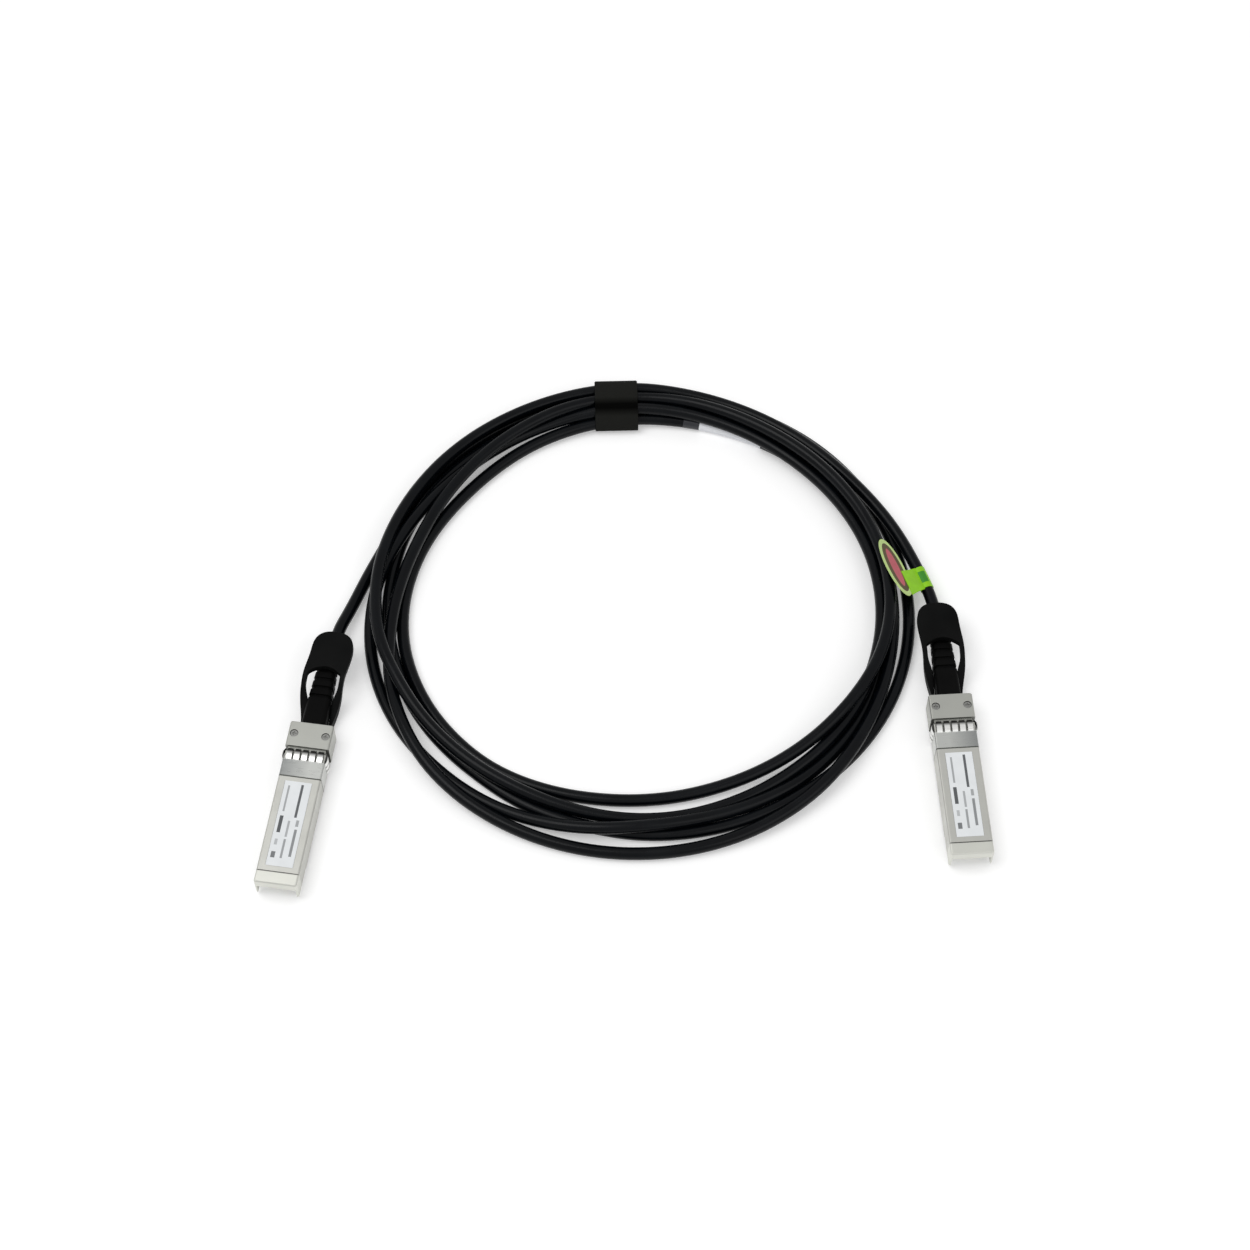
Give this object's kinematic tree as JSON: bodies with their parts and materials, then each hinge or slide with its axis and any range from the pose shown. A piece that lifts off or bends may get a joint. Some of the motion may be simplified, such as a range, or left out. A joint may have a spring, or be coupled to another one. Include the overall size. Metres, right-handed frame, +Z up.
{
  "type": "direct attach copper cable",
  "caption": "Coiled black twinax cable with a metal pluggable connector, ribbed boot and sliding pull tab at each end, held by a hook-and-loop tie.",
  "frame": {"origin": "centre of the box round the plugs, tie, label and tag, on the table that the cable lies on", "axes": "+X from the left plug to the right plug, +Y from the plugs to the tie, +Z up from the table"},
  "size_m": [0.2247, 0.1919, 0.0149],
  "materials": {
    "shell_plating": "nickel-plated die casting, satin",
    "collar_sheet": "plated spring sheet, satin",
    "label_paper": "white film, matt",
    "screw_steel": "plated steel, satin",
    "slider_steel": "stainless sheet, satin",
    "spring_steel": "spring wire, bright",
    "boot_rubber": "black moulded rubber, satin",
    "tab_plastic": "black moulded plastic, fine grain",
    "card_laminate": "green lacquered laminate",
    "contact_gold": "gold plating",
    "chip_case": "black moulded case",
    "capacitor_body": "ceramic, tan",
    "core_insulation": "white foamed insulation",
    "braid_copper": "tinned copper braid",
    "ferrule_metal": "plated brass, satin",
    "cable_jacket": "black plastic jacket, satin",
    "tie_fabric": "black woven hook-and-loop",
    "tag_green": "lime green printed film"
  },
  "bodies": {
    "cable_and_plugs": {"left_upper_shell": "shell_plating", "left_lower_shell": "shell_plating", "left_emi_collar": "collar_sheet", "left_face_label": "label_paper", "left_shell_screws": "screw_steel", "left_return_spring": "spring_steel", "left_strain_boot": "boot_rubber", "left_paddle_card": "card_laminate", "left_edge_contacts": "contact_gold", "left_memory_chip": "chip_case", "left_coupling_capacitors": "capacitor_body", "left_twinax_cores": "core_insulation", "left_shield_braid": "braid_copper", "left_crimp_ferrule": "ferrule_metal", "left_jacket_end": "cable_jacket", "right_upper_shell": "shell_plating", "right_lower_shell": "shell_plating", "right_emi_collar": "collar_sheet", "right_face_label": "label_paper", "right_shell_screws": "screw_steel", "right_return_spring": "spring_steel", "right_strain_boot": "boot_rubber", "right_paddle_card": "card_laminate", "right_edge_contacts": "contact_gold", "right_memory_chip": "chip_case", "right_coupling_capacitors": "capacitor_body", "right_twinax_cores": "core_insulation", "right_shield_braid": "braid_copper", "right_crimp_ferrule": "ferrule_metal", "right_jacket_end": "cable_jacket", "left_tail": "cable_jacket", "right_tail": "cable_jacket", "coil": "cable_jacket", "hook_loop_tie": "tie_fabric", "cable_label": "label_paper", "flag_tag": "tag_green"},
    "left_release": {"left_release_slider": "slider_steel", "left_pull_tab": "tab_plastic"},
    "right_release": {"right_release_slider": "slider_steel", "right_pull_tab": "tab_plastic"}
  },
  "joints": [
    {"name": "left_release_slide", "type": "slide", "parent": "cable_and_plugs", "child": "left_release", "axis": [0.1426, 0.9898, 0], "range_m": [0, 0.0025], "stiffness_N_per_m": 300, "deforming": ["left_return_spring"]},
    {"name": "right_release_slide", "type": "slide", "parent": "cable_and_plugs", "child": "right_release", "axis": [-0.0611, 0.9981, 0], "range_m": [0, 0.0025], "stiffness_N_per_m": 300, "deforming": ["right_return_spring"]}
  ]
}
